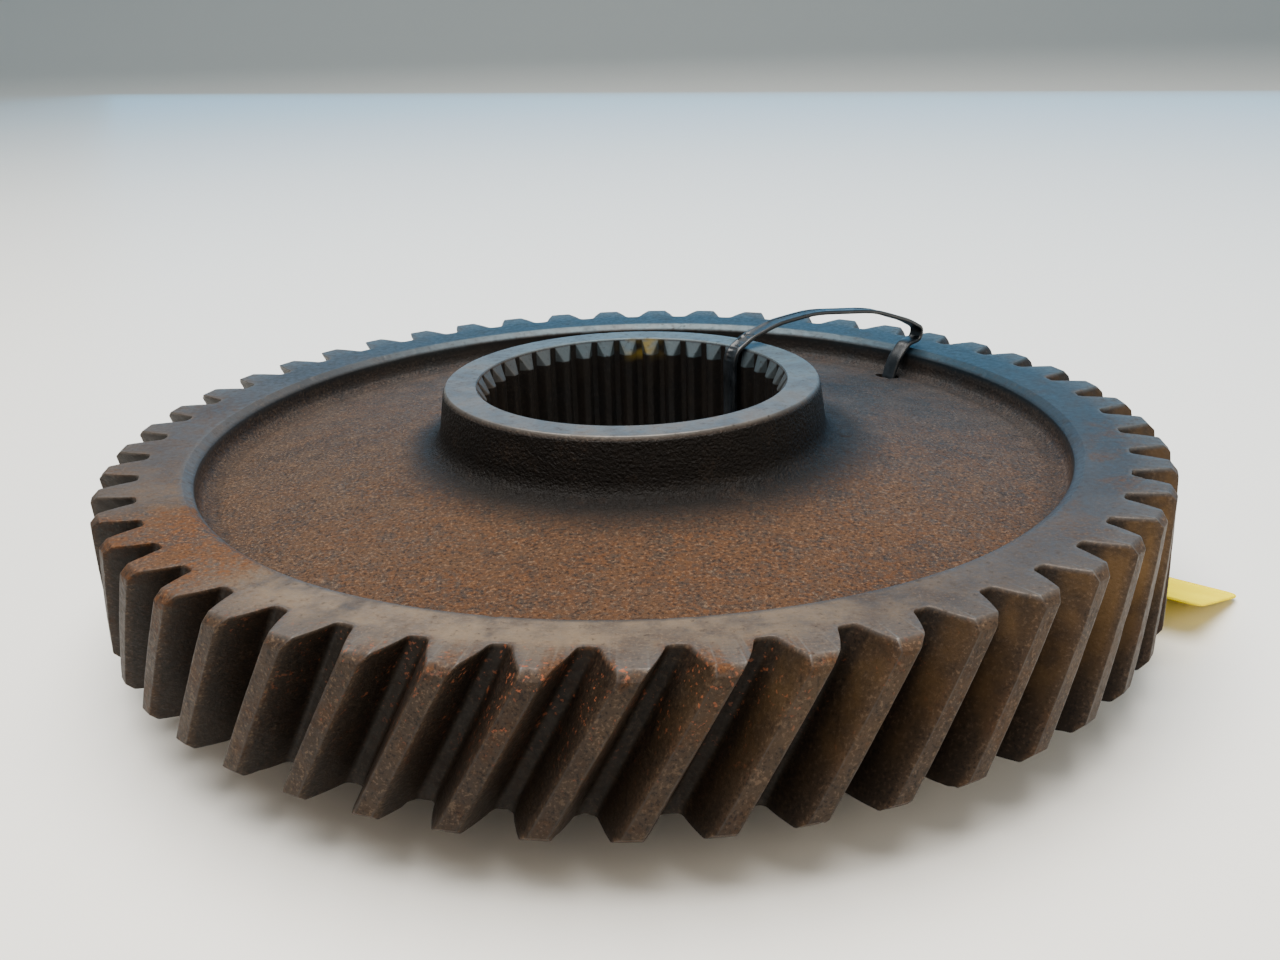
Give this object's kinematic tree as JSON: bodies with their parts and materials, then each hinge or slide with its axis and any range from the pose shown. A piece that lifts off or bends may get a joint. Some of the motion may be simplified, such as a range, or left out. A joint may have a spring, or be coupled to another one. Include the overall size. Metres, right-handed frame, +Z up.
{
  "type": "helical gear wheel with splined hub",
  "caption": "Helical gear wheel with a dished web and a raised splined hub, carrying a loose cable tie and a blank identification tag.",
  "frame": {"origin": "on the bore axis, in the plane of the lower hub face that the wheel stands on", "axes": "+Z up the bore towards the raised splined hub; +Y away from the side the wheel is seen from; +X to the right"},
  "size_m": [0.3135, 0.2874, 0.073],
  "materials": {
    "forged_steel": "oily used forging, brown patina with rust, machined faces worn grey",
    "black_nylon": "black moulded nylon, slightly glossy",
    "yellow_plastic": "bright yellow sheet plastic"
  },
  "bodies": {
    "gear": {"gear_wheel": "forged_steel"},
    "tie": {"cable_tie": "black_nylon"},
    "tag": {"id_tag": "yellow_plastic"}
  },
  "joints": [
    {"name": "tie_swing", "type": "hinge", "parent": "gear", "child": "tie", "pos_m": [0.08442, 0.07083, 0.036], "axis": [0, 0, 1], "range_deg": [-2.5, 2.5]},
    {"name": "tag_swing", "type": "hinge", "parent": "tie", "child": "tag", "pos_m": [0.0671, 0.05631, 0.00543], "axis": [0, 0, 1], "range_deg": [-35, 20]}
  ]
}
